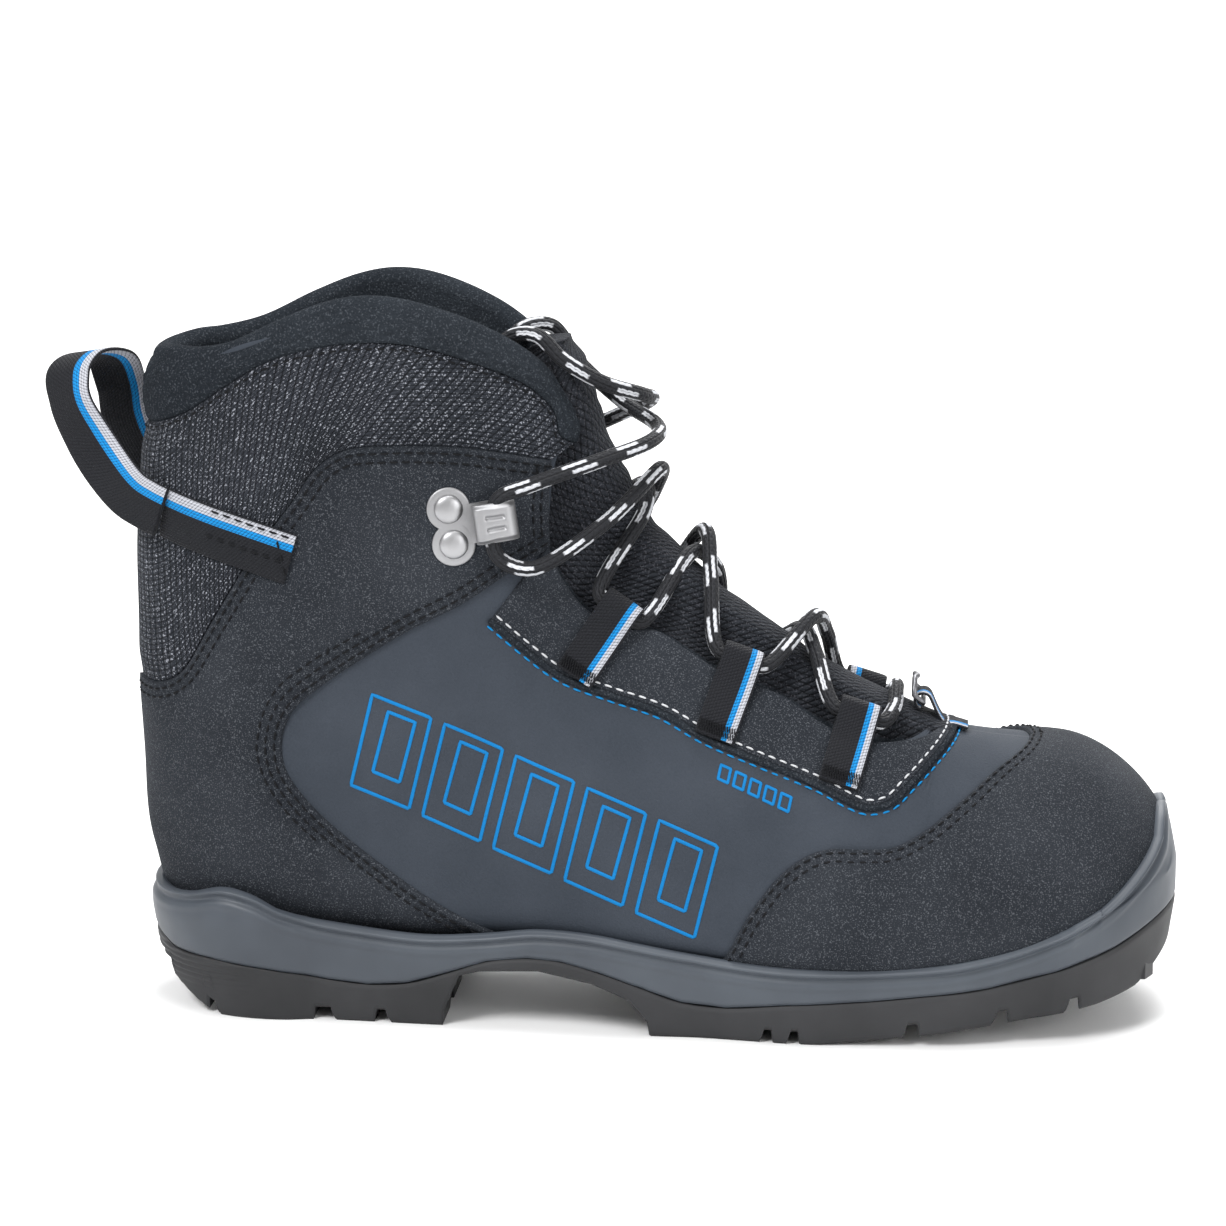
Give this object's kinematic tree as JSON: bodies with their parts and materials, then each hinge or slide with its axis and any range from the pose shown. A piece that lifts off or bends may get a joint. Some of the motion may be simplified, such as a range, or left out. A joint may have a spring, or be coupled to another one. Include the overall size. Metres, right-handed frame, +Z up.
{
  "type": "cross country ski boot",
  "caption": "Ankle-high laced cross country ski boot for the right foot, with a rubber rand, a lugged sole, a steel toe bar and a pull strap.",
  "frame": {"origin": "under the middle of the boot, on the ground that the tread stands on", "axes": "+X from heel to toe, +Z up, -Y the lateral (outer) side of the right foot"},
  "size_m": [0.3354, 0.1026, 0.2111],
  "materials": {
    "tread_rubber": "matte",
    "rand_rubber": "gloss",
    "softshell": "matte",
    "overlay": "matte, gritty",
    "knit": "ribbed knit",
    "fleece": "napped",
    "webbing": "woven, blue and light grey stripe",
    "lace_braid": "braided, light flecks",
    "stiffener": "matte",
    "board": "pressed fibre",
    "binding_plastic": "satin",
    "bar_steel": "satin",
    "hook_metal": "satin nickel"
  },
  "bodies": {
    "boot": {"outsole": "tread_rubber", "midsole_rand": "rand_rubber", "toe_bar_insert": "binding_plastic", "toe_bar": "bar_steel", "vamp_shell": "softshell", "ankle_knit_panel": "knit", "heel_counter": "stiffener", "toe_puff": "stiffener", "lining_bootie": "fleece", "toe_cap": "overlay", "eyestay": "overlay", "heel_ankle_overlay": "overlay", "collar": "fleece", "tongue": "knit", "insole_board": "board", "lace_loop_lateral_1": "webbing", "lace_loop_lateral_2": "webbing", "lace_loop_lateral_3": "webbing", "lace_loop_medial_1": "webbing", "lace_loop_medial_2": "webbing", "lace_loop_medial_3": "webbing", "lace_hook_lateral": "hook_metal", "hook_rivet_lateral_lower": "hook_metal", "hook_rivet_lateral_upper": "hook_metal", "strap_anchor_lateral": "webbing", "lace_hook_medial": "hook_metal", "hook_rivet_medial_lower": "hook_metal", "hook_rivet_medial_upper": "hook_metal", "strap_anchor_medial": "webbing", "vamp_loop": "webbing", "lace": "lace_braid"},
    "footbed": {"footbed": "fleece"},
    "pull_strap": {"pull_strap": "webbing"},
    "gaiter_hook": {"gaiter_hook": "hook_metal"}
  },
  "joints": [
    {"name": "pull_strap_fold", "type": "hinge", "parent": "boot", "child": "pull_strap", "pos_m": [-0.13104, -0.00125, 0.1508], "axis": [0, 1, 0], "range_deg": [-28, 4], "stiffness_Nm_per_rad": 0.02},
    {"name": "gaiter_hook_swing", "type": "hinge", "parent": "boot", "child": "gaiter_hook", "pos_m": [0.09196, -0.00125, 0.0929], "axis": [0, 1, 0], "range_deg": [-8, 40]},
    {"name": "footbed_lift", "type": "hinge", "parent": "boot", "child": "footbed", "pos_m": [0.14296, -0.00125, 0.039], "axis": [0, 1, 0], "range_deg": [0, 5]}
  ]
}
